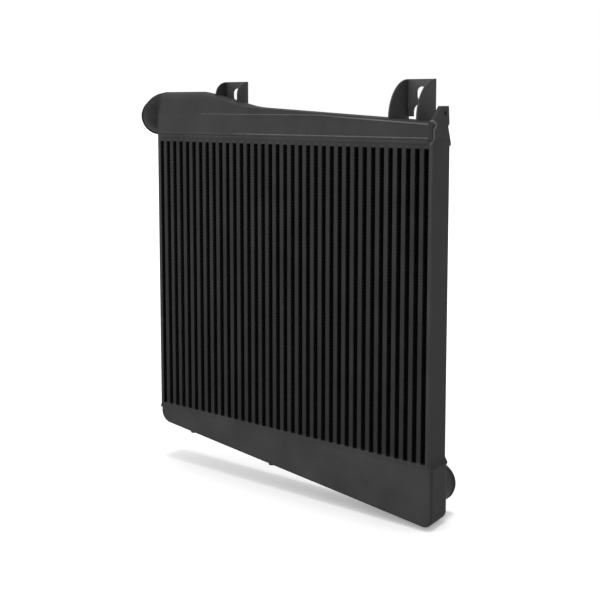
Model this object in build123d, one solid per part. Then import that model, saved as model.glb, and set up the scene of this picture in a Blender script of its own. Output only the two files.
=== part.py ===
"""Charge-air cooler with a bar-and-plate core, two cast tanks and two hanger brackets.

The charge air enters the hose neck at the upper left, spreads along the upper tank, falls through
the upright passages of the core and leaves by the neck at the back of the lower tank. Millimetres.
X runs across the core, Y from its front to its back and Z up.
"""
from build123d import *
import math
import os

# Core
passage_count = 35
passage_width = 8.5
air_gap = 9.84
core_depth = 63.7
fin_height = 573.6
upper_bar_height = 15.5
lower_bar_height = 8.0
side_plate_thickness = 7.0
passage_bar_depth = 6.0
sheet_thickness = 0.6
air_fin_recess = 1.5
inner_fin_waves = 2
inner_fin_thickness = 0.4
inner_fin_setback = 3.0

# Both tanks
tank_wall = 4.0
tank_proud = 2.0
seam_flange_depth = 5.0

# Upper tank, heights above its seat on the core
duct_height = 42.3
duct_lean = 3.4
crown_height = 88.5
crown_front_setback = 12.0
crown_back_setback = 12.0
crown_radius = 22.0
back_foot_height = 23.0
back_foot_setback = 7.5
crown_length = 107.0
ramp_length = 128.0
ramp_foot_height = 56.9
far_end_height = 31.8
ramp_foot_radius = 220.0
skirt_straight_end = 6.7
skirt_foot = 12.0
skirt_root = 2.0
foot_rim_height = 4.2
foot_rim_proud = 1.2

# Inlet elbow and neck
elbow_bend_radius = 56.0
elbow_turn = 45.0
elbow_root_sink = 8.0
elbow_root_step = 1.5
elbow_root_width = 52.0
elbow_root_radius = 24.0
elbow_middle_width = 70.0
elbow_middle_height = 83.0
elbow_middle_rise = 43.0
elbow_middle_radius = 34.0
elbow_end_flat = 1.5
inlet_height = 36.5
inlet_outer_radius = 37.5
inlet_length = 44.0

# End plate and its ear
ear_height = 59.5
ear_top_setback = 4.5
ear_foot_setback = 1.5
ear_back_foot = 28.5
ear_front_foot = -30.0
ear_front_top = 0.0
ear_hole_radius = 4.25
ear_hole_depth_place = 14.0
ear_hole_height = 46.5
ear_corner_radius = 3.0

# Lower tank, depths below its seat on the core
lower_left_depth = 35.0
lower_right_depth = 113.0
lower_left_radius = 26.0
lower_right_radius = 17.0
lower_left_overhang = 3.0
lower_right_overhang = 5.4
lower_edge_radius = 8.0
lower_flange_below_seat = 9.0
lower_flange_above_seat = 3.5

# Outlet neck
outlet_place = 297.0
outlet_depth = 58.5
outlet_outer_radius = 35.5
outlet_length = 43.5
outlet_flare = 4.5
outlet_flare_end = 5.0

# Both necks
neck_wall = 3.0
bead_height = 2.0
bead_width = 5.0
bead_slope = 1.5
bead_setback = 5.0
collar_height = 3.0
collar_length = 6.0
collar_root = 2.0

# Locating pegs under the lower tank
peg_places = (-267.0, -50.0)
peg_radius = 7.0
peg_length = 10.0
pad_radius = 11.0
pad_height = 3.0
peg_chamfer = 1.0

# Hanger brackets
sheet_bracket = 3.0
bracket_width = 60.5
bracket_rear = 38.5
left_bracket_foot = 45.0
right_bracket_foot = 34.0
web_foot_height = 40.0
bracket_top = 108.8
bracket_bend_radius = 3.0
left_bracket_setback = 164.4
right_bracket_setback = 54.1
left_flange_reach = 35.5
left_flange_drop = 27.0
right_flange_reach = 70.5
right_flange_drop = 73.5
slot_width = 19.0
slot_height = 26.0
slot_below_top = 26.8
notch_width = 33.0
notch_height = 24.5
notch_radius = 16.0

# How far a cut runs past the face it opens, and how far a pad or ear runs into its wall
cut_past = 1.0
pad_root = 0.5

# Sizes that follow from the ones above
pitch = passage_width + air_gap
core_half_width = (passage_count * passage_width + (passage_count + 1) * air_gap) / 2
outer_half_width = core_half_width + side_plate_thickness
core_front = -core_depth / 2
core_back = core_depth / 2
upper_seat = fin_height + upper_bar_height
lower_seat = -lower_bar_height
core_height = upper_seat - lower_seat
tank_front = core_front - tank_proud
tank_back = core_back + tank_proud
left_end = -outer_half_width
lower_left_end = left_end - lower_left_overhang
lower_right_end = outer_half_width + lower_right_overhang
crown_end = left_end + crown_length
ramp_end = crown_end + ramp_length
inlet_bore_radius = inlet_outer_radius - neck_wall
outlet_bore_radius = outlet_outer_radius - neck_wall
slot_centre_height = upper_seat + bracket_top - slot_below_top
left_bracket_place = left_end + left_bracket_setback
right_bracket_place = core_half_width - right_bracket_setback
skirt_back = core_back + seam_flange_depth
skirt_neck = tank_back - back_foot_setback
skirt_back_at_seat = skirt_neck + (skirt_back - skirt_neck) * back_foot_height \
    / (back_foot_height + skirt_straight_end)
datum = Vector((left_bracket_place + right_bracket_place) / 2, bracket_rear, slot_centre_height)


def slab(x_low, x_high, y_low, y_high, z_low, z_high):
    """A block between two corners."""
    middle = Pos((x_low + x_high) / 2, (y_low + y_high) / 2, (z_low + z_high) / 2)
    return middle * Box(x_high - x_low, y_high - y_low, z_high - z_low)


def side_extrusion(outline, x_low, x_high):
    """A face drawn in (y, z), swept from x_low to x_high."""
    return Pos(x_low, 0, 0) * extrude(Plane.YZ * outline, amount=x_high - x_low)


def fin_cell(index):
    """Middle of an air space, counted from the left."""
    return -core_half_width + air_gap / 2 + index * pitch


def passage_place(index):
    """Middle of a charge-air passage, counted from the left."""
    return fin_cell(index) + pitch / 2


def charge_passage(index):
    """Two upright bars and two parting sheets brazed into one flat box, open at both ends."""
    x = passage_place(index)
    half = passage_width / 2
    inner_half = half - sheet_thickness
    outside = slab(x - half, x + half, core_front, core_back, lower_seat, upper_seat)
    inner_front = core_front + passage_bar_depth
    inner_back = core_back - passage_bar_depth
    inside = slab(x - inner_half, x + inner_half, inner_front, inner_back, lower_seat, upper_seat)
    return outside - inside


def inner_fin(index):
    """The folded strip that stands inside one passage, its crests against both sheets."""
    x = passage_place(index)
    reach = passage_width / 2 - sheet_thickness - inner_fin_thickness / 2
    front = core_front + passage_bar_depth
    fold = (core_depth - 2 * passage_bar_depth) / (2 * inner_fin_waves)
    crests = []
    for step in range(2 * inner_fin_waves + 1):
        side = reach if step % 2 else -reach
        crests.append((x + side, front + step * fold))
    left = [(place - inner_fin_thickness / 2, y) for place, y in crests]
    right = [(place + inner_fin_thickness / 2, y) for place, y in reversed(crests)]
    section = make_face(Polyline(*left, *right, close=True))
    height = core_height - 2 * inner_fin_setback
    return Pos(0, 0, lower_seat + inner_fin_setback) * extrude(section, amount=height)


def air_fin_pack(index):
    """The fin pack between two passages, a little behind the faces of the bars."""
    x = fin_cell(index)
    half = air_gap / 2
    front = core_front + air_fin_recess
    back = core_back - air_fin_recess
    return slab(x - half, x + half, front, back, 0, fin_height)


def closing_bar(index, z_low, z_high):
    """The bar that shuts an air space at its top or bottom."""
    x = fin_cell(index)
    half = air_gap / 2
    return slab(x - half, x + half, core_front, core_back, z_low, z_high)


def side_plate(side):
    """The flat plate that ends the core, side -1 on the left and 1 on the right."""
    inner = side * core_half_width
    outer = side * outer_half_width
    low, high = min(inner, outer), max(inner, outer)
    return slab(low, high, core_front, core_back, lower_seat, upper_seat)


def upper_front_form(inset, right_end):
    """Front view of the upper tank: raised crown at the left, ramp, then a slow fall."""
    floor = upper_seat - inset
    left = left_end + inset
    roof = upper_seat + crown_height + cut_past
    ramp_top = upper_seat + crown_height - inset
    ramp_foot = upper_seat + ramp_foot_height - inset
    far_top = upper_seat + far_end_height - inset
    run = (ramp_top - ramp_foot) / ramp_length
    crest = (crown_end - (roof - ramp_top) / run, roof)
    foot = (ramp_end, ramp_foot)
    corners = [(left, floor), (left, roof), crest, foot, (right_end, far_top), (right_end, floor)]
    sketch = make_face(Polyline(*corners, close=True))
    bend = sketch.vertices().sort_by_distance((*foot, 0))[0]
    sketch = fillet(bend, ramp_foot_radius)
    return extrude(Plane.XZ * sketch, amount=core_depth, both=True)


def upper_end_form(inset, x_low, x_high):
    """End view of the upper tank: leaning front, rounded crown and flared back foot."""
    floor = upper_seat - inset
    crown = upper_seat + crown_height - inset
    duct_top = upper_seat + duct_height
    back_foot = skirt_back_at_seat - inset
    points = [
        (tank_front + inset, floor),
        (tank_front + duct_lean + inset, duct_top),
        (tank_front + crown_front_setback + inset, crown),
        (tank_back - crown_back_setback - inset, crown),
        (skirt_neck - inset, upper_seat + back_foot_height),
        (back_foot, floor),
    ]
    sketch = make_face(Polyline(*points, close=True))
    tops = sketch.vertices().sort_by(Axis.Y)[-2:]
    sketch = fillet(tops, crown_radius - inset)
    return side_extrusion(sketch, x_low, x_high)


def elbow_plane(turn, rise):
    """Section plane of the inlet elbow, turned to the back by so many degrees at some height."""
    angle = math.radians(turn)
    x = left_end - elbow_bend_radius * math.sin(angle)
    y = elbow_bend_radius * (1 - math.cos(angle))
    ahead = (-math.cos(angle), math.sin(angle), 0)
    across = (math.sin(angle), math.cos(angle), 0)
    return Plane(origin=(x, y, upper_seat + rise), x_dir=across, z_dir=ahead)


def inlet_elbow(inset):
    """The cast bend between the crown's square end and the round neck."""
    root_height = crown_height - 2 * elbow_root_step
    root = RectangleRounded(elbow_root_width - 2 * inset, root_height - 2 * inset,
                            elbow_root_radius - inset)
    middle = RectangleRounded(elbow_middle_width - 2 * inset, elbow_middle_height - 2 * inset,
                              elbow_middle_radius - inset)
    neck = 2 * (inlet_outer_radius - inset)
    end = RectangleRounded(neck, neck, inlet_outer_radius - inset - elbow_end_flat)
    start = elbow_plane(0, crown_height / 2).offset(-elbow_root_sink)
    halfway = elbow_plane(elbow_turn / 2, elbow_middle_rise)
    return loft([start * root, halfway * middle, elbow_plane(elbow_turn, inlet_height) * end])


def neck_outside(outer_radius, length):
    """Hose neck along +Z, turned with a chamfered collar at its root and a bead near its mouth."""
    collar_radius = outer_radius + collar_height
    bead_radius = outer_radius + bead_height
    bead_top = length - bead_setback
    bead_foot = bead_top - bead_width
    section = [
        (0, -collar_root),
        (collar_radius, -collar_root),
        (collar_radius, collar_length - collar_height),
        (outer_radius, collar_length),
        (outer_radius, bead_foot),
        (bead_radius, bead_foot + bead_slope),
        (bead_radius, bead_top - bead_slope),
        (outer_radius, bead_top),
        (outer_radius, length),
        (0, length),
    ]
    return revolve(Plane.XZ * make_face(Polyline(*section, close=True)), Axis.Z)


def upper_tank_outside():
    """The whole outer form of the upper tank, still solid."""
    return upper_front_form(0, core_half_width) & upper_end_form(0, left_end, core_half_width)


def upper_tank():
    """Cast shell with the inlet elbow, open below over the core and at its right end."""
    outside = upper_tank_outside()
    outside += back_skirt(left_end, core_half_width) + foot_rim(left_end, core_half_width)
    neck = elbow_plane(elbow_turn, inlet_height)
    outside += inlet_elbow(0) + neck * neck_outside(inlet_outer_radius, inlet_length)
    hollow = upper_front_form(tank_wall, core_half_width)
    hollow &= upper_end_form(tank_wall, left_end + tank_wall, core_half_width)
    hollow -= slab(left_end, core_half_width, core_back - tank_wall / 2, tank_back + tank_wall,
                   upper_seat - tank_wall, upper_seat + tank_wall)
    throat = inlet_elbow(tank_wall)
    bore_length = inlet_length + 2 * cut_past
    throat += neck * Pos(0, 0, inlet_length / 2) * Cylinder(inlet_bore_radius, bore_length)
    return outside - hollow - throat


def upper_end_plate():
    """Flat cap welded over the tank's open end, with the ear that carries a bolt hole."""
    plate = upper_front_form(0, outer_half_width)
    plate &= upper_end_form(0, core_half_width, outer_half_width)
    ear_points = [
        (ear_front_foot, upper_seat + far_end_height / 2),
        (ear_front_foot, upper_seat + far_end_height),
        (ear_front_top, upper_seat + ear_height),
        (core_back - ear_top_setback, upper_seat + ear_height),
        (core_back - ear_foot_setback, upper_seat + ear_back_foot),
        (skirt_neck, upper_seat + back_foot_height),
        (core_front / 2, upper_seat + far_end_height / 2),
    ]
    ear = make_face(Polyline(*ear_points, close=True))
    tops = ear.vertices().sort_by(Axis.Y)[-3:]
    ear = fillet(tops.sort_by(Axis.X)[:2], ear_corner_radius)
    plate += side_extrusion(ear, core_half_width, outer_half_width)
    plate += back_skirt(core_half_width, outer_half_width)
    plate += foot_rim(core_half_width, outer_half_width)
    hole = Pos(core_half_width, ear_hole_depth_place, upper_seat + ear_hole_height)
    hole *= Rot(0, 90, 0) * Cylinder(ear_hole_radius, 2 * (side_plate_thickness + cut_past))
    return plate - hole


def back_skirt(x_low, x_high):
    """Flared rim of the upper tank's back foot, lapped over the core and welded to it."""
    section = [
        (core_back, upper_seat - skirt_foot),
        (skirt_back, upper_seat - skirt_foot),
        (skirt_back, upper_seat - skirt_straight_end),
        (skirt_back_at_seat, upper_seat),
        (core_back, upper_seat + skirt_root),
    ]
    return side_extrusion(make_face(Polyline(*section, close=True)), x_low, x_high)


def foot_rim(x_low, x_high):
    """Weld rim along the upper tank's front foot, its top slanted."""
    face = tank_front - foot_rim_proud
    section = [
        (core_front, upper_seat),
        (face, upper_seat),
        (face, upper_seat + foot_rim_height / 2),
        (tank_front, upper_seat + foot_rim_height),
        (core_front, upper_seat + foot_rim_height),
    ]
    return side_extrusion(make_face(Polyline(*section, close=True)), x_low, x_high)


def lower_floor(x):
    """Height of the lower tank's sloping underside."""
    share = (x - lower_left_end) / (lower_right_end - lower_left_end)
    return lower_seat - lower_left_depth - share * (lower_right_depth - lower_left_depth)


def lower_form(inset):
    """Front view of the lower tank, shallow at the left and deep at the right, swept back."""
    left = lower_left_end + inset
    right = lower_right_end - inset
    roof = lower_seat + inset
    points = [(left, roof), (right, roof), (right, lower_floor(right) + inset),
              (left, lower_floor(left) + inset)]
    sketch = make_face(Polyline(*points, close=True))
    left_foot = sketch.vertices().sort_by(Axis.X)[:2].sort_by(Axis.Y)[0]
    sketch = fillet(left_foot, lower_left_radius - inset)
    right_foot = sketch.vertices().sort_by(Axis.Y)[0]
    sketch = fillet(right_foot, lower_right_radius - inset)
    back = tank_back - inset
    front = core_front + inset
    return Pos(0, back, 0) * extrude(Plane.XZ * sketch, amount=back - front)


def lower_rim(form):
    """Front and back edges of the lower tank's form, apart from those under the core."""
    rim = form.edges().group_by(Axis.Y)
    return [edge for edge in rim[0] + rim[-1] if edge.center().Z < lower_seat - cut_past]


def locating_peg(x):
    """Upright peg on a flat pad, cast on under the lower tank."""
    pad_top = lower_floor(x - pad_radius) + pad_root
    pad_foot = lower_floor(x + pad_radius) - pad_height
    pad = Pos(x, 0, (pad_top + pad_foot) / 2) * Cylinder(pad_radius, pad_top - pad_foot)
    peg = Pos(x, 0, pad_foot - peg_length / 2) * Cylinder(peg_radius, peg_length)
    peg = chamfer(peg.edges().sort_by(Axis.Z)[0], peg_chamfer)
    return pad + peg


def lower_tank():
    """Cast shell with the outlet neck at its deep end, open above under the core."""
    outside = fillet(lower_rim(lower_form(0)), lower_edge_radius)
    outside += slab(left_end, outer_half_width, core_back, core_back + seam_flange_depth,
                    lower_seat - lower_flange_below_seat, lower_seat + lower_flange_above_seat)
    neck = Pos(outlet_place, tank_back, lower_seat - outlet_depth) * Rot(-90, 0, 0)
    outside += neck * neck_outside(outlet_outer_radius, outlet_length)
    for x in peg_places:
        outside += locating_peg(x)
    hollow = chamfer(lower_rim(lower_form(tank_wall)), tank_wall)
    return outside - hollow - neck * outlet_bore()


def outlet_bore():
    """Way through the outlet along +Z, flared where it leaves the tank's back wall."""
    start = -tank_wall - cut_past
    end = outlet_length + cut_past
    section = [
        (0, start),
        (outlet_bore_radius + outlet_flare, start),
        (outlet_bore_radius, outlet_flare_end),
        (outlet_bore_radius, end),
        (0, end),
    ]
    return revolve(Plane.XZ * make_face(Polyline(*section, close=True)), Axis.Z)


def flange_view(foot, reach, drop):
    """Side view of a bracket, upright at the back, with a quarter ellipse at its front top."""
    top = upper_seat + bracket_top
    front = bracket_rear - reach
    bend = top - drop
    outline = Polyline((front, bend), (front, foot), (bracket_rear, foot), (bracket_rear, top))
    outline += EllipticalCenterArc((bracket_rear, bend), reach, drop, 90, arc_size=90)
    return make_face(outline)


def hanger_bracket(place, foot, side_view):
    """Folded channel with a slotted web at the back and two flanges coped to the tank."""
    left = place - bracket_width / 2
    right = place + bracket_width / 2
    top = upper_seat + bracket_top
    reach = right_flange_reach
    channel = slab(left, right, bracket_rear - reach, bracket_rear, foot, top)
    bends = channel.edges().filter_by(Axis.Z).sort_by(Axis.Y)[-2:]
    channel = fillet(bends, bracket_bend_radius)
    inner_left = left + sheet_bracket
    inner_right = right - sheet_bracket
    web_front = bracket_rear - sheet_bracket
    channel -= slab(inner_left, inner_right, bracket_rear - reach, web_front, foot, top)
    channel &= side_extrusion(side_view, left, right)
    slot = SlotOverall(slot_height, slot_width, rotation=90)
    slot = extrude(Plane.XZ * slot, amount=sheet_bracket + cut_past, both=True)
    return channel - Pos(place, bracket_rear, slot_centre_height) * slot - upper_tank_outside()


def left_bracket():
    """Hanger on the falling flank of the crown, its flanges short and rounded at the top."""
    foot = upper_seat + left_bracket_foot
    return hanger_bracket(left_bracket_place, foot, flange_view(foot, left_flange_reach, left_flange_drop))


def right_bracket():
    """Hanger near the far end, its flanges long quarter ellipses that reach to the tank's front."""
    foot = upper_seat + right_bracket_foot
    view = flange_view(foot, right_flange_reach, right_flange_drop)
    bracket = hanger_bracket(right_bracket_place, foot, view)
    notch = Rectangle(notch_width, notch_height)
    notch = fillet(notch.vertices().sort_by(Axis.Y)[-2:], notch_radius)
    web_foot = upper_seat + web_foot_height
    inner_width = bracket_width - 2 * sheet_bracket
    opening = Pos(right_bracket_place, web_foot + notch_height / 2) * notch
    opening += Pos(right_bracket_place, (foot + web_foot) / 2) * Rectangle(inner_width, web_foot - foot)
    opening = extrude(Plane.XZ * opening, amount=sheet_bracket + cut_past, both=True)
    return bracket - Pos(0, bracket_rear, 0) * opening


def save(name, *pieces):
    """Write one sub-part, moved so that the datum is the origin."""
    placed = [Pos(*(-datum)) * piece for piece in pieces]
    shape = placed[0] if len(placed) == 1 else Compound(placed)
    export_step(shape, f"parts/{name}.step")


os.makedirs("parts", exist_ok=True)
save("upper_tank", upper_tank())
save("upper_end_plate", upper_end_plate())
save("lower_tank", lower_tank())
save("left_side_plate", side_plate(-1))
save("right_side_plate", side_plate(1))
for index in range(passage_count):
    save(f"charge_passage_{index + 1:02d}", charge_passage(index))
cells = range(passage_count + 1)
save("inner_fins", *[inner_fin(index) for index in range(passage_count)])
save("air_fins", *[air_fin_pack(index) for index in cells])
save("upper_closing_bars", *[closing_bar(index, fin_height, upper_seat) for index in cells])
save("lower_closing_bars", *[closing_bar(index, lower_seat, 0) for index in cells])
save("left_bracket", left_bracket())
save("right_bracket", right_bracket())
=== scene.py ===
import math
import bpy
import numpy as np
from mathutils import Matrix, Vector
from mathutils.bvhtree import BVHTree


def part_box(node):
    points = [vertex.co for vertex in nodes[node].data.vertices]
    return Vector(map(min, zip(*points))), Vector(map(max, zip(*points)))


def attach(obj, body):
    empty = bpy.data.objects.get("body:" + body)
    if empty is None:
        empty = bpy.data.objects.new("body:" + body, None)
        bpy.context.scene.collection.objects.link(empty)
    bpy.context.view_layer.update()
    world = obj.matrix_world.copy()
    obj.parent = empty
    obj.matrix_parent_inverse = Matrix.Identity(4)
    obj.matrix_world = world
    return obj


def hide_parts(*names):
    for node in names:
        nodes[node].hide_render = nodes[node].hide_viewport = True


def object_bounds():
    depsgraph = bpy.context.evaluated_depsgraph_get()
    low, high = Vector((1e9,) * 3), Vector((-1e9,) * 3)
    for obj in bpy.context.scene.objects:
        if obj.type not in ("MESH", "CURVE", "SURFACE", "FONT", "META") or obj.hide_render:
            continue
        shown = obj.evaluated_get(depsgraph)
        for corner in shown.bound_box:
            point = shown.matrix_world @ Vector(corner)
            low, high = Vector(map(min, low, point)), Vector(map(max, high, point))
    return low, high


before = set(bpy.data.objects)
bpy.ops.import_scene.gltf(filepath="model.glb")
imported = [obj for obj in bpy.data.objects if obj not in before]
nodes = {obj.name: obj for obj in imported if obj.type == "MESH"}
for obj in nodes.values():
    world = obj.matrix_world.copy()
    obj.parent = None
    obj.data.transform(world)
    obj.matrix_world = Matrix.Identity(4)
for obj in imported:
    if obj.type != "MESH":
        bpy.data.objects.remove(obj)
cad_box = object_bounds()

# The view. A camera stands off the outlet end, level with the upper tank, and looks 36 degrees
# across the front face and a little down. A shift keeps the uprights of the picture near parallel.
picture_width = 600
focal_pixels = 987.6
sensor = 0.036
axis_above_middle = 100
view_turn = math.radians(36.285)
view_dip = math.radians(5.569)
camera_place = (1.1174, -1.6010, -0.0185)
sight_end = 100

camera = bpy.data.objects.new("camera", bpy.data.cameras.new("camera"))
camera.data.sensor_width = sensor * 1000
camera.data.lens = focal_pixels / picture_width * sensor * 1000
camera.data.shift_y = -axis_above_middle / picture_width
camera.data.clip_end = sight_end
camera.location = camera_place
camera.rotation_euler = (math.pi / 2 - view_dip, 0, view_turn)
bpy.context.scene.collection.objects.link(camera)
bpy.context.scene.camera = camera
bpy.context.scene.view_settings.view_transform = "Standard"

# The floor. A wide sheet of white board just under the lower tank's deep end. Only the camera sees
# it as plain white, with the cooler's soft shadow. All other rays meet a duller board.
floor_drop = 0.005
floor_size = 60.0
floor_tone = 0.93
floor_bounce = 0.55
floor_lift = 0.26


def new_material(name):
    """A new node material, with its node tree and its shader."""
    material = bpy.data.materials.new(name)
    material.use_nodes = True
    tree = material.node_tree
    shader = tree.nodes["Principled BSDF"]
    return material, tree, shader


lowest = cad_box[0][2] - floor_drop
half = floor_size / 2
floor_corners = [(-half, -half, lowest), (half, -half, lowest),
                 (half, half, lowest), (-half, half, lowest)]
floor_mesh = bpy.data.meshes.new("floor")
floor_mesh.from_pydata(floor_corners, [], [(0, 1, 2, 3)])
floor = bpy.data.objects.new("floor", floor_mesh)
bpy.context.scene.collection.objects.link(floor)
floor_material, floor_tree, floor_shader = new_material("white_board")
floor_shader.inputs["Roughness"].default_value = 1
floor_shader.inputs["Specular IOR Level"].default_value = 0
floor_shader.inputs["Emission Color"].default_value = (1, 1, 1, 1)
floor_ray = floor_tree.nodes.new("ShaderNodeLightPath")
floor_colour = floor_tree.nodes.new("ShaderNodeMapRange")
floor_colour.inputs["To Min"].default_value = floor_bounce
floor_colour.inputs["To Max"].default_value = floor_tone
floor_tree.links.new(floor_ray.outputs["Is Camera Ray"], floor_colour.inputs["Value"])
floor_tree.links.new(floor_colour.outputs["Result"], floor_shader.inputs["Base Color"])
floor_glow = floor_tree.nodes.new("ShaderNodeMath")
floor_glow.operation = "MULTIPLY"
floor_glow.inputs[1].default_value = floor_lift
floor_tree.links.new(floor_ray.outputs["Is Camera Ray"], floor_glow.inputs[0])
floor_tree.links.new(floor_glow.outputs["Value"], floor_shader.inputs["Emission Strength"])
floor_mesh.materials.append(floor_material)

# The studio light. A pale ceiling, a bright wall in front, a dimmer one behind and dark sides light
# the cooler, and one soft lamp almost straight above leaves its shadow on the floor. The camera
# sees plain white behind the cooler.
room_dim = 0.09
room_bright = 1.15
room_key = Vector((-0.35, -0.937, 0.0))
room_side = -0.2
room_back = 0.35
room_top = 0.95
room_top_from = 0.3
room_top_full = 0.95
room_seen = 1.0
lamp_strength = 1.25
lamp_spread = math.radians(17)
lamp_tilt = math.radians(-1.5)
lamp_turn = math.radians(35)

world = bpy.data.worlds.new("studio")
bpy.context.scene.world = world
world.use_nodes = True
world_nodes = world.node_tree.nodes
world_links = world.node_tree.links
backdrop = world_nodes["Background"]
backdrop.inputs["Color"].default_value = (1, 1, 1, 1)
way = world_nodes.new("ShaderNodeTexCoord")
facing = world_nodes.new("ShaderNodeVectorMath")
facing.operation = "DOT_PRODUCT"
facing.inputs[1].default_value = room_key
world_links.new(way.outputs["Generated"], facing.inputs[0])
front_wall = world_nodes.new("ShaderNodeMapRange")
front_wall.interpolation_type = "SMOOTHSTEP"
front_wall.inputs["From Min"].default_value = room_side
front_wall.inputs["From Max"].default_value = 1
front_wall.inputs["To Min"].default_value = room_dim
front_wall.inputs["To Max"].default_value = room_bright
world_links.new(facing.outputs["Value"], front_wall.inputs["Value"])
back_wall = world_nodes.new("ShaderNodeMapRange")
back_wall.interpolation_type = "SMOOTHSTEP"
back_wall.inputs["From Min"].default_value = room_side
back_wall.inputs["From Max"].default_value = -1
back_wall.inputs["To Max"].default_value = room_back
world_links.new(facing.outputs["Value"], back_wall.inputs["Value"])
walls = world_nodes.new("ShaderNodeMath")
walls.operation = "ADD"
world_links.new(front_wall.outputs["Result"], walls.inputs[0])
world_links.new(back_wall.outputs["Result"], walls.inputs[1])
height = world_nodes.new("ShaderNodeSeparateXYZ")
world_links.new(way.outputs["Generated"], height.inputs["Vector"])
ceiling = world_nodes.new("ShaderNodeMapRange")
ceiling.interpolation_type = "SMOOTHSTEP"
ceiling.inputs["From Min"].default_value = room_top_from
ceiling.inputs["From Max"].default_value = room_top_full
ceiling.inputs["To Max"].default_value = room_top
world_links.new(height.outputs["Z"], ceiling.inputs["Value"])
world_links.new(walls.outputs["Value"], ceiling.inputs["To Min"])
ray = world_nodes.new("ShaderNodeLightPath")
seen = world_nodes.new("ShaderNodeMath")
seen.operation = "MAXIMUM"
world_links.new(ray.outputs["Is Camera Ray"], seen.inputs[0])
world_links.new(ray.outputs["Is Transmission Ray"], seen.inputs[1])
strength = world_nodes.new("ShaderNodeMapRange")
strength.inputs["To Max"].default_value = room_seen
world_links.new(seen.outputs["Value"], strength.inputs["Value"])
world_links.new(ceiling.outputs["Result"], strength.inputs["To Min"])
world_links.new(strength.outputs["Result"], backdrop.inputs["Strength"])

lamp = bpy.data.objects.new("lamp", bpy.data.lights.new("lamp", "SUN"))
lamp.data.energy = lamp_strength
lamp.data.angle = lamp_spread
lamp.rotation_euler = (lamp_tilt, 0, lamp_turn)
lamp.visible_glossy = False
bpy.context.scene.collection.objects.link(lamp)

# The charge passages. Two drawn aluminium bars and two sheets make each flat upright box, brazed in
# a furnace and sprayed satin black. Painted shade darkens the bars between their paler ends beside
# the closing bars, most towards the foot.
bar_tone = 0.050
bar_roughness = 0.52
bar_grain = 1800.0
bar_bump = 0.000015
closing_height = 0.0095
# Painted shade: shares of the bar tone at the foot and the head of the span between the closing
# bars.
bar_foot_shade = 0.46
bar_head_shade = 0.70
bar_fade = 0.002
clouds_per_metre = 14
cloud_detail = 5
cloud_depth = 0.18
cloud_low, cloud_high = 0.3, 0.7
peel_detail = 3
peel_strength = 0.6
gloss_down, gloss_up = 0.06, 0.08
worn_edge = 0.0012
worn_samples = 4
paint_gloss = 0.2
painted_light_most = 2.0


def satin_black(name, tone, roughness, grain, bump_height, painted_light=()):
    """Satin black paint: cloudy tone, uneven gloss and the fine grain of the metal under it.

    Painted light and shade (axis, stops) make the paint paler or darker along the object: each stop
    is a place on the axis and the share of the tone there.
    """
    material, tree, shader = new_material(name)
    new, link = tree.nodes.new, tree.links.new
    place = new("ShaderNodeTexCoord")
    clouds = new("ShaderNodeTexNoise")
    clouds.inputs["Scale"].default_value = clouds_per_metre
    clouds.inputs["Detail"].default_value = cloud_detail
    link(place.outputs["Object"], clouds.inputs["Vector"])
    ramp = new("ShaderNodeValToRGB")
    low, high = tone * (1 - cloud_depth), tone * (1 + cloud_depth)
    ramp.color_ramp.elements[0].position = cloud_low
    ramp.color_ramp.elements[0].color = (low, low, low, 1)
    ramp.color_ramp.elements[1].position = cloud_high
    ramp.color_ramp.elements[1].color = (high, high, high, 1)
    link(clouds.outputs["Fac"], ramp.inputs["Fac"])
    colour = ramp.outputs["Color"]
    split = new("ShaderNodeSeparateXYZ")
    link(place.outputs["Object"], split.inputs["Vector"])
    for axis, stops in painted_light:
        first, last = stops[0][0], stops[-1][0]
        reach = new("ShaderNodeMapRange")
        reach.inputs["From Min"].default_value = first
        reach.inputs["From Max"].default_value = last
        link(split.outputs[axis], reach.inputs["Value"])
        shares = new("ShaderNodeFloatCurve")
        points = shares.mapping.curves[0].points
        while len(points) < len(stops):
            points.new(0.5, 0.5)
        for point, (spot, share) in zip(points, stops):
            point.location = ((spot - first) / (last - first), share / painted_light_most)
            point.handle_type = "VECTOR"
        shares.mapping.update()
        link(reach.outputs["Result"], shares.inputs["Value"])
        whole = new("ShaderNodeMath")
        whole.operation = "MULTIPLY"
        whole.inputs[1].default_value = painted_light_most
        link(shares.outputs["Value"], whole.inputs[0])
        painted_lit = new("ShaderNodeVectorMath")
        painted_lit.operation = "SCALE"
        link(colour, painted_lit.inputs[0])
        link(whole.outputs["Value"], painted_lit.inputs["Scale"])
        colour = painted_lit.outputs["Vector"]
    link(colour, shader.inputs["Base Color"])
    gloss = new("ShaderNodeMapRange")
    gloss.inputs["To Min"].default_value = roughness - gloss_down
    gloss.inputs["To Max"].default_value = roughness + gloss_up
    link(clouds.outputs["Fac"], gloss.inputs["Value"])
    link(gloss.outputs["Result"], shader.inputs["Roughness"])
    peel = new("ShaderNodeTexNoise")
    peel.inputs["Scale"].default_value = grain
    peel.inputs["Detail"].default_value = peel_detail
    link(place.outputs["Object"], peel.inputs["Vector"])
    corner = new("ShaderNodeBevel")
    corner.samples = worn_samples
    corner.inputs["Radius"].default_value = worn_edge
    bump = new("ShaderNodeBump")
    bump.inputs["Strength"].default_value = peel_strength
    bump.inputs["Distance"].default_value = bump_height
    link(corner.outputs["Normal"], bump.inputs["Normal"])
    link(peel.outputs["Fac"], bump.inputs["Height"])
    link(bump.outputs["Normal"], shader.inputs["Normal"])
    shader.inputs["Specular IOR Level"].default_value = paint_gloss
    return material


def paint(node, material):
    """Give a carried-over node its own finish."""
    for place in nodes[node].material_slots:
        place.material = material
    if not nodes[node].material_slots:
        nodes[node].data.materials.append(material)


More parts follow.
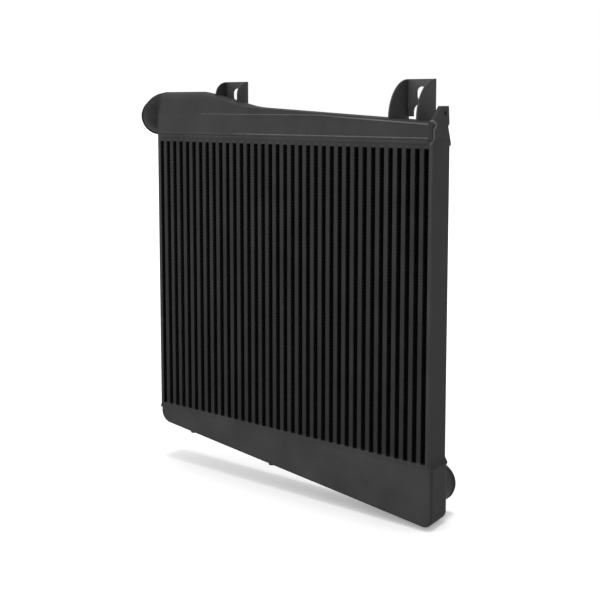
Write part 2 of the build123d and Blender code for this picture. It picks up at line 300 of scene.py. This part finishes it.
passages = sorted(name for name in nodes if name.startswith("charge_passage"))
bars_low, bars_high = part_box(passages[0])[0].z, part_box(passages[0])[1].z
clear_low, clear_high = bars_low + closing_height, bars_high - closing_height
bar_painted_shade = ((bars_low, 1), (clear_low, 1), (clear_low + bar_fade, bar_foot_shade),
            (clear_high - bar_fade, bar_head_shade), (clear_high, 1), (bars_high, 1))
bar_paint = satin_black("bar_paint", bar_tone, bar_roughness, bar_grain, bar_bump,
                        painted_light=(("Z", bar_painted_shade),))
for name in passages:
    paint(name, bar_paint)

# The side plates. Two sheared aluminium plates end the core, brazed on with the rest of it. Their
# flat sides are darker than the castings, with painted shade darker towards the foot, and a painted
# highlight makes their front edges paler.
side_tone = 0.030
side_roughness = 0.5
side_grain = 1600.0
side_bump = 0.00002
# Painted shade up the plates, darker towards the foot, and a painted highlight along the front
# edge.
side_foot_shade = 0.74
side_head_shade = 1.05
edge_highlight_share = 1.9
edge_depth = 0.0008
edge_fade = 0.0016
side_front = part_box("right_side_plate")[0].y
side_edge_highlight = ((side_front + edge_depth, edge_highlight_share), (side_front + edge_fade, 1))
side_painted_shade = ((bars_low, side_foot_shade), (bars_high, side_head_shade))
side_paint = satin_black("side_paint", side_tone, side_roughness, side_grain, side_bump,
                         painted_light=(("Y", side_edge_highlight), ("Z", side_painted_shade)))
for name in ("left_side_plate", "right_side_plate"):
    paint(name, side_paint)

# The turbulators. Bare aluminium strips, rolled and folded, slid into the passages before brazing.
# They stay out of sight between the bars and sheets.
strip_colour = (0.72, 0.72, 0.73, 1)
rolling_lines = 400
strip_bright, strip_dull = 0.25, 0.45
strip_metal, strip_tree, strip_shader = new_material("strip_metal")
strip_shader.inputs["Metallic"].default_value = 1
strip_shader.inputs["Base Color"].default_value = strip_colour
rolling = strip_tree.nodes.new("ShaderNodeTexNoise")
rolling.inputs["Scale"].default_value = rolling_lines
rolling_range = strip_tree.nodes.new("ShaderNodeMapRange")
rolling_range.inputs["To Min"].default_value = strip_bright
rolling_range.inputs["To Max"].default_value = strip_dull
strip_tree.links.new(rolling.outputs["Fac"], rolling_range.inputs["Value"])
strip_tree.links.new(rolling_range.outputs["Result"], strip_shader.inputs["Roughness"])
paint("inner_fins", strip_metal)

# The air fins. Each air space holds one strip of thin aluminium, folded into a zigzag from sheet to
# sheet and ruffled from front to back, brazed at its crests and sprayed black with the rest. Their
# paint is made far darker than the rest, as painted shade for the deep air spaces.
fin_leg = 0.0030
fin_crest = 0.0007
fin_sheet = 0.00016
fin_ruffle = 0.0024
fin_ruffle_steps = (0, 1, 0, -1, 0)
fins_in_a_piece = 9
# Painted shade: the fins' tone is far below the other paints', for the deep shade between them.
fin_shade_tone = 0.0014
fin_roughness = 0.6
fin_grain = 2500.0
fin_bump = 0.00001


def fin_line(x_low, x_high, z_low, z_high):
    """The folded strip's edge in (x, z): a leg across, a short crest, a leg back."""
    count = round((z_high - z_low - fin_crest) / fin_leg)
    step = (z_high - z_low - fin_crest) / count
    line = []
    for leg in range(count + 1):
        x = x_high if leg % 2 else x_low
        line += [(x, z_low + leg * step), (x, z_low + leg * step + fin_crest)]
    return np.array(line)


def thick_strip(line, stations, lifts, thickness):
    """Points and faces of a closed sheet that follows a line in (x, z) through several depths."""
    ahead = np.gradient(line, axis=0)
    normal = np.stack([-ahead[:, 1], ahead[:, 0]], axis=1)
    normal /= np.linalg.norm(normal, axis=1)[:, None]
    points = []
    for side in (-thickness / 2, thickness / 2):
        moved = line + side * normal
        for depth, lift in zip(stations, lifts):
            y = np.full(len(line), depth)
            points.append(np.stack([moved[:, 0], y, moved[:, 1] + lift], axis=1))
    points = np.concatenate(points)
    n, rows = len(line), len(stations)
    along = np.arange(n - 1)
    faces = []
    for side in (0, 1):
        for row in range(rows - 1):
            a = (side * rows + row) * n + along
            quad = [a, a + 1, a + n + 1, a + n]
            faces.append(np.stack(quad if side else quad[::-1], axis=1))
    for row, flip in ((0, False), (rows - 1, True)):
        a = row * n + along
        b = a + rows * n
        quad = [a, a + 1, b + 1, b]
        faces.append(np.stack(quad[::-1] if flip else quad, axis=1))
    across = np.arange(rows - 1) * n
    for end, flip in ((0, True), (n - 1, False)):
        a = across + end
        b = a + rows * n
        quad = [a, a + n, b + n, b]
        faces.append(np.stack(quad[::-1] if flip else quad, axis=1))
    return points, np.concatenate(faces)


def add_piece(name, points, faces, material, smooth=False):
    """A new mesh piece that rides on the cooler's one body."""
    mesh = bpy.data.meshes.new(name)
    mesh.from_pydata([tuple(p) for p in points], [], [tuple(f) for f in faces])
    if smooth:
        mesh.shade_smooth()
    mesh.materials.append(material)
    piece = bpy.data.objects.new(name, mesh)
    bpy.context.scene.collection.objects.link(piece)
    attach(piece, "root")
    return piece


fin_paint = satin_black("fin_paint", fin_shade_tone, fin_roughness, fin_grain, fin_bump)
fins_low, fins_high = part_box("air_fins")
plates = ["left_side_plate"] + passages + ["right_side_plate"]
fin_depths = np.linspace(fins_low.y, fins_high.y, len(fin_ruffle_steps))
fin_lifts = fin_ruffle * np.array(fin_ruffle_steps)
for first in range(0, len(plates) - 1, fins_in_a_piece):
    all_points, all_faces, used = [], [], 0
    for cell in range(first, min(first + fins_in_a_piece, len(plates) - 1)):
        x_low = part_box(plates[cell])[1].x + fin_sheet / 2
        x_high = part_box(plates[cell + 1])[0].x - fin_sheet / 2
        line = fin_line(x_low, x_high, fins_low.z + fin_ruffle + fin_sheet,
                        fins_high.z - fin_ruffle - fin_sheet)
        points, faces = thick_strip(line, fin_depths, fin_lifts, fin_sheet)
        all_points.append(points)
        all_faces.append(faces + used)
        used += len(points)
    piece = add_piece(f"folded_fins_{first // fins_in_a_piece + 1}", np.concatenate(all_points),
                      np.concatenate(all_faces), fin_paint)
    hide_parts("air_fins")

# The upper tank. A thick aluminium casting with the raised crown and the inlet elbow in one piece,
# welded over the core's top. Painted light makes it a little paler below its crease, and painted
# shade darker above it, at the elbow and towards the end plate.
tank_tone = 0.044
tank_roughness = 0.5
casting_grain = 900.0
casting_bump = 0.00004
# Painted shade at the elbow and the far end, and painted light below the crease.
elbow_shade = 0.40
elbow_before, elbow_after = 0.004, 0.006
tank_share = 1.03
tank_share_until = 0.08
tank_end_shade = 0.92
crease_height = -0.0397
crease_fade = 0.001
below_crease_light, above_crease_shade = 1.08, 0.93
elbow_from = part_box("left_side_plate")[0].x
tank_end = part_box("upper_tank")[1].x
tank_shade_along = ((elbow_from - elbow_before, elbow_shade), (elbow_from + elbow_after, tank_share),
              (tank_share_until, tank_share), (tank_end, tank_end_shade))
tank_light_up = ((crease_height - crease_fade, below_crease_light), (crease_height + crease_fade, above_crease_shade))
cast_paint = satin_black("cast_paint", tank_tone, tank_roughness, casting_grain, casting_bump,
                         painted_light=(("X", tank_shade_along), ("Z", tank_light_up)))
paint("upper_tank", cast_paint)

# The closing bars. Short solid aluminium bars, brazed over and under each air space, that the tanks
# are welded to. They take the tank's paint, with its painted light and shade.
for name in ("upper_closing_bars", "lower_closing_bars"):
    paint(name, cast_paint)

# The end plate and its ear. A flat aluminium cap cut to the tank's end form, welded all round, its
# ear drilled for the bolt of a shroud.
plate_tone = 0.037
plate_grain = 1400.0
plate_bump = 0.00002
plate_paint = satin_black("plate_paint", plate_tone, tank_roughness, plate_grain, plate_bump)
paint("upper_end_plate", plate_paint)

# The lower tank. A tapering aluminium casting, shallow under the inlet end and deep at the outlet,
# with the outlet neck at its back and two pegs below. Painted shade makes its end face and its neck
# darker, and its shallow end a little darker.
lower_tone = 0.053
# Painted shade on the shallow end, the end face and the neck.
shallow_shade = 0.92
full_share_from = -0.1
end_face_shade = 0.60
end_face_from, end_face_full = 0.0016, 0.0004
neck_shade = 0.72
neck_from, neck_full = 0.000, 0.004
lower_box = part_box("lower_tank")
lower_shade_along = ((lower_box[0].x, shallow_shade), (full_share_from, 1),
               (lower_box[1].x - end_face_from, 1),
               (lower_box[1].x - end_face_full, end_face_shade))
neck_shade_out = ((neck_from, 1), (neck_full, neck_shade))
lower_paint = satin_black("lower_paint", lower_tone, tank_roughness, casting_grain, casting_bump,
                          painted_light=(("X", lower_shade_along), ("Y", neck_shade_out)))
paint("lower_tank", lower_paint)

# The parting line. The upper tank is cast in two half moulds, which leaves a thin raised line along
# the crease of its front and on down to the end plate, a little below the low roof's edge.
# Painted highlight: the beads on the parting line, the rim and the end plate are far paler than the
# castings.
bead_highlight_tone = 0.13
bead_roughness = 0.42
bead_sides = 10
bead_step = 0.0016
bead_least_steps = 8
bead_passes = 4
bead_pitch = 0.0042
bead_nose = 1.5
bead_tip = 0.04
bead_up = (0.4, 0.5, 0.77)
hand_waves = (0.011, 0.019, 0.031, 0.053)
line_radii = (0.0007, 0.0011, 0.0014, 0.0018)
line_seed = 3
line_wander = 0.1
crease_front = -0.0687
end_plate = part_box("upper_end_plate")
line_route = ((-0.262, crease_front, crease_height), (0.04, crease_front, crease_height - 0.0003),
              (0.10, -0.0694, -0.0445), (end_plate[0].x, -0.0701, -0.0548))
bead_highlight_paint = satin_black("bead_highlight_paint", bead_highlight_tone, bead_roughness, casting_grain, casting_bump)


def laid_bead(name, route, radii, seed, wander, ripple, material=bead_highlight_paint, tall=1):
    """A closed uneven rod along a route of corners, half of it sunk into the seam that it fills."""
    route = np.array(route)
    reach = np.concatenate([[0], np.cumsum(np.linalg.norm(np.diff(route, axis=0), axis=1))])
    along = np.linspace(0, reach[-1], max(int(reach[-1] / bead_step), bead_least_steps))
    centre = np.stack([np.interp(along, reach, route[:, axis]) for axis in range(3)], axis=1)
    for _ in range(bead_passes):
        centre[1:-1] = (centre[:-2] + 2 * centre[1:-1] + centre[2:]) / 4
    phases = np.random.default_rng(seed).uniform(0, 2 * np.pi, len(hand_waves))
    hand = sum(np.sin(2 * np.pi * along / wave + phase) for wave, phase in zip(hand_waves, phases))
    ripples = ripple * abs(np.sin(np.pi * along / bead_pitch))
    radius = np.interp(along, reach, radii) * (1 + wander * hand / len(hand_waves) - ripples)
    nose = np.minimum(along, reach[-1] - along) / (bead_nose * max(radii))
    radius = radius * np.sqrt(np.clip(nose, bead_tip, 1))
    ahead = np.gradient(centre, axis=0)
    ahead /= np.linalg.norm(ahead, axis=1)[:, None]
    across = np.cross(ahead, bead_up)
    across /= np.linalg.norm(across, axis=1)[:, None]
    rise = np.cross(ahead, across)
    turns = np.linspace(0, 2 * np.pi, bead_sides, endpoint=False)
    oval = radius[:, None] * np.array((1, 1, tall))
    rings = [centre + oval * (math.cos(a) * across + math.sin(a) * rise) for a in turns]
    points = np.stack(rings, axis=1).reshape(-1, 3)
    faces = []
    for row in range(len(along) - 1):
        for spoke in range(bead_sides):
            near = row * bead_sides + spoke
            other = row * bead_sides + (spoke + 1) % bead_sides
            faces.append((near, other, other + bead_sides, near + bead_sides))
    faces.append(tuple(reversed(range(bead_sides))))
    faces.append(tuple(range(len(points) - bead_sides, len(points))))
    return add_piece(name, points, faces, material, smooth=True)


laid_bead("parting_line", line_route, line_radii, line_seed, line_wander, 0)

# The tank welds. Aluminium beads laid by hand close the upper tank's seams, front and back, and the
# lower tank's back seam. The upper front one is a ridge at the tank's rim over a broad fillet.
rim_height = -0.0802
rim_front = -0.0719
rim_tall = 1.8
rim_wander, rim_ripple = 0.08, 0.05
rim_radii = (0.0007, 0.0012, 0.0015, 0.0015)
rim_seed, fillet_seed = 7, 6
fillet_radius = 0.0050
fillet_tall = 1.24
fillet_inset = 0.0020
fillet_drop = 0.0032
fillet_end_gap = 0.005
fillet_wander, fillet_ripple = 0.02, 0.01
bead_ripple = 0.10
back_radius = 0.0018
back_wander = 0.18
back_proud = 0.0006
back_lap = 0.0004
back_end_gap = 0.004
seat_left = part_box("left_side_plate")
seat_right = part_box("right_side_plate")
core_front, core_back = seat_right[0].y, seat_right[1].y
upper_seam, lower_seam = seat_right[1].z, seat_right[0].z
skirt_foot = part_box("upper_tank")[0].z
rim_route = ((-0.33, rim_front + 0.0006, rim_height), (-0.24, rim_front + 0.0002, rim_height),
             (-0.14, rim_front, rim_height), (end_plate[0].x + 0.002, rim_front, rim_height))
laid_bead("upper_front_weld", rim_route, rim_radii, rim_seed, rim_wander, rim_ripple,
          tall=rim_tall)
fillet_front, fillet_height = core_front + fillet_inset, upper_seam - fillet_drop
laid_bead("upper_front_fillet",
          [(seat_left[0].x + fillet_end_gap, fillet_front, fillet_height),
           (end_plate[1].x - fillet_end_gap, fillet_front, fillet_height)],
          (fillet_radius, fillet_radius), fillet_seed, fillet_wander, fillet_ripple,
          material=lower_paint, tall=fillet_tall)
for name, right_end, seam, seed in (
        ("upper_back_weld", end_plate[1].x, skirt_foot - back_lap, 8),
        ("lower_back_weld", seat_right[1].x, lower_box[1].z + back_lap, 9)):
    laid_bead(name,
              [(seat_left[0].x + back_end_gap, core_back + back_proud, seam),
               (right_end - back_end_gap, core_back + back_proud, seam)],
              (back_radius, back_radius), seed, back_wander, bead_ripple, material=cast_paint)

# The corner welds. At the core's lower corners the lower tank is wider than the side plates, and an
# aluminium weld, ground smooth, fills each ledge and flares out to the tank's end face.
flare = 1.8
flare_steps = 8
flare_stations = 3
flare_root = 0.003
flare_foot = 0.004
flare_side_gap = 0.0003
end_inset = 0.0002
right_weld_height, left_weld_height = 0.012, 0.007


def corner_fillet(name, plate_x, tank_x, height):
    """A ground weld that flares from a side plate out to the lower tank's end face."""
    inner = plate_x - math.copysign(flare_root, tank_x - plate_x)
    profile = [(inner, lower_seam + height)]
    for share in np.linspace(0, 1, flare_steps):
        profile.append((plate_x + (tank_x - plate_x) * share ** flare,
                        lower_seam + height * (1 - share)))
    profile += [(tank_x, lower_seam - flare_foot), (inner, lower_seam - flare_foot)]
    stations = np.linspace(core_front + flare_side_gap, core_back - flare_side_gap, flare_stations)
    points = [(x, y, z) for y in stations for x, z in profile]
    n = len(profile)
    faces = []
    for row in range(len(stations) - 1):
        for corner in range(n):
            near, other = row * n + corner, row * n + (corner + 1) % n
            faces.append((near, other, other + n, near + n))
    faces.append(tuple(reversed(range(n))))
    faces.append(tuple(range(len(points) - n, len(points))))
    if tank_x < plate_x:
        faces = [tuple(reversed(face)) for face in faces]
    # The weld takes the side plates' paint, with its painted shade and painted highlight.
    return add_piece(name, points, faces, side_paint)


corner_fillet("lower_right_weld", seat_right[1].x, lower_box[1].x - end_inset, right_weld_height)
corner_fillet("lower_left_weld", seat_left[0].x, lower_box[0].x + end_inset, left_weld_height)

# The end plate's weld. One heavy uneven bead starts in a blob round the ear's foot, runs down the
# front corner and curls in under the tank; lighter ones close the roof and the back.
corner_seed, roof_seed, back_seed = 12, 13, 14
corner_wander = 0.12
plate_wander = 0.15
roof_weld_radius = 0.0024
roof_weld_lap = 0.0004
roof_weld_front, roof_weld_back = -0.0675, -0.0140
roof_weld_height = -0.0498
plate_back_radius = 0.0016
plate_back_line = ((-0.0135, -0.0505), (-0.0128, -0.0590), (-0.0026, -0.0885))
# Each row: out past the plate's face, behind the core's front, above the upper seam, the radius.
corner_bead = ((-0.0072, 0.0050, 0.0342, 0.0024), (-0.0022, 0.0020, 0.0326, 0.0032),
               (0.0008, 0.0070, 0.0290, 0.0034), (0.0008, 0.0105, 0.0262, 0.0032),
               (0.0006, 0.0040, 0.0185, 0.0024), (0.0004, 0.0024, 0.0120, 0.0019),
               (0.0006, 0.0044, 0.0040, 0.0023), (0.0000, 0.0020, -0.0020, 0.0019),
               (-0.0025, 0.0003, -0.0065, 0.0018), (-0.0060, 0.0003, -0.0105, 0.0013))
laid_bead("end_plate_corner_weld",
          [(end_plate[1].x + out, core_front + deep, upper_seam + up)
           for out, deep, up, _ in corner_bead],
          [radius for *_, radius in corner_bead], corner_seed, corner_wander, bead_ripple)
roof_weld_x = end_plate[0].x - roof_weld_lap
laid_bead("end_plate_roof_weld",
          [(roof_weld_x, roof_weld_front, roof_weld_height),
           (roof_weld_x, roof_weld_back, roof_weld_height)],
          (roof_weld_radius, roof_weld_radius), roof_seed, plate_wander, bead_ripple)
laid_bead("end_plate_back_weld", [(end_plate[0].x, y, z) for y, z in plate_back_line],
          [plate_back_radius] * len(plate_back_line), back_seed, plate_wander, bead_ripple,
          material=cast_paint)

# The hanger brackets. Steel sheet folded to a channel, slotted for a bolt and welded on the upper
# tank's top before painting. Painted light makes the webs paler, and painted shade makes the left
# bracket's left flange darker.
bracket_tone = 0.057
bracket_roughness = 0.48
bracket_grain = 1500.0
bracket_bump = 0.00002
bracket_sheet = 0.003
flange_fade = 0.0005
web_before, web_near, web_far = 0.002, 0.0005, 0.001
bracket_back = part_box("right_bracket")[1].y
web_front = bracket_back - bracket_sheet
# Painted shade on the left bracket's left flange and painted light on both webs.
for name, flange_shade_share, web_light_share in (("left_bracket", 0.66, 1.5), ("right_bracket", 1, 1.95)):
    low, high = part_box(name)
    flange_inside = low.x + bracket_sheet
    web_painted_light = ((web_front - web_before, 1), (web_front - web_near, web_light_share),
                (web_front + web_far, web_light_share), (bracket_back, 1))
    flange_painted_shade = ((low.x, flange_shade_share), (flange_inside, flange_shade_share),
                   (flange_inside + flange_fade, 1), (high.x, 1))
    paint(name, satin_black(f"{name}_paint", bracket_tone, bracket_roughness, bracket_grain,
                            bracket_bump, painted_light=(("Y", web_painted_light), ("X", flange_painted_shade))))

# The bracket welds. A small bead runs along the foot of each flange, over the tank's roof and down
# its back as far as the bracket reaches.
bracket_bead = 0.0015
bracket_wander = 0.15
flange_front_gap = 0.002
flange_weld_back = -0.016
roof_places, back_places = 8, 5
back_least = 0.006
back_from, back_until = 0.003, 0.002
above_all, behind_all = 0.2, 0.05
roof_tree = BVHTree.FromObject(nodes["upper_tank"], bpy.context.evaluated_depsgraph_get())


def flange_route(x, front, back, foot):
    """Places on the tank's skin in the plane of a flange, over the roof and then down the back."""
    route = []
    for y in np.linspace(front, back, roof_places):
        hit = roof_tree.ray_cast(Vector((x, y, above_all)), Vector((0, 0, -1)))[0]
        if hit is not None and hit.z > foot - bracket_bead:
            route.append(tuple(hit))
    if route[-1][2] - foot > back_least:
        for z in np.linspace(route[-1][2] - back_from, foot + back_until, back_places):
            hit = roof_tree.ray_cast(Vector((x, behind_all, z)), Vector((0, -1, 0)))[0]
            route.append(tuple(hit))
    return route


for name, seed in (("left_bracket", 21), ("right_bracket", 31)):
    low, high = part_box(name)
    for side, x in (("inner", low.x), ("outer", high.x)):
        route = flange_route(x, low.y + flange_front_gap, flange_weld_back, low.z)
        laid_bead(f"{name}_{side}_weld", route, [bracket_bead] * len(route), seed, bracket_wander,
                  bead_ripple, material=cast_paint)
